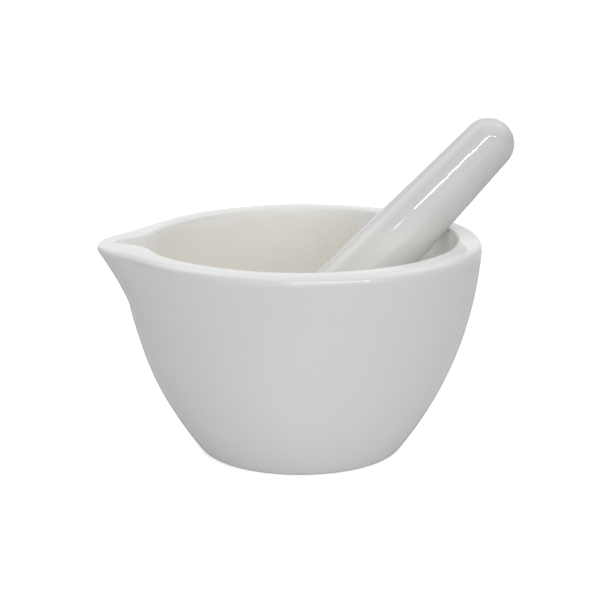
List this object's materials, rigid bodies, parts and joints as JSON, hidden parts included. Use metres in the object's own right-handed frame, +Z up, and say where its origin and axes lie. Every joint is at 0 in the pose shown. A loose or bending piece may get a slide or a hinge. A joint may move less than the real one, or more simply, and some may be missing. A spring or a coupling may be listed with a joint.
{
  "type": "mortar and pestle",
  "caption": "Small porcelain mortar with a pouring spout and a tapered pestle leaning in its bowl, for grinding and mixing powders.",
  "frame": {"origin": "centre of the mortar's flat foot, on the surface it stands on", "axes": "+Z up along the bowl's axis; the pouring spout points along -X; the pestle leans towards +X, turned 17 degrees towards +Y"},
  "size_m": [0.1166, 0.1004, 0.0907],
  "materials": {
    "mortar_porcelain": "white glossy glaze outside and over the rim, bare matt cream porcelain inside the bowl and under the foot",
    "pestle_porcelain": "white glossy glaze on the handle, bare matt cream porcelain on the grinding head"
  },
  "bodies": {
    "mortar": {"mortar": "mortar_porcelain"},
    "pestle": {"pestle": "pestle_porcelain"}
  },
  "joints": [
    {"name": "pestle_lift", "type": "slide", "parent": "mortar", "child": "pestle", "axis": [0, 0, 1], "range_m": [0, 0.06]}
  ]
}
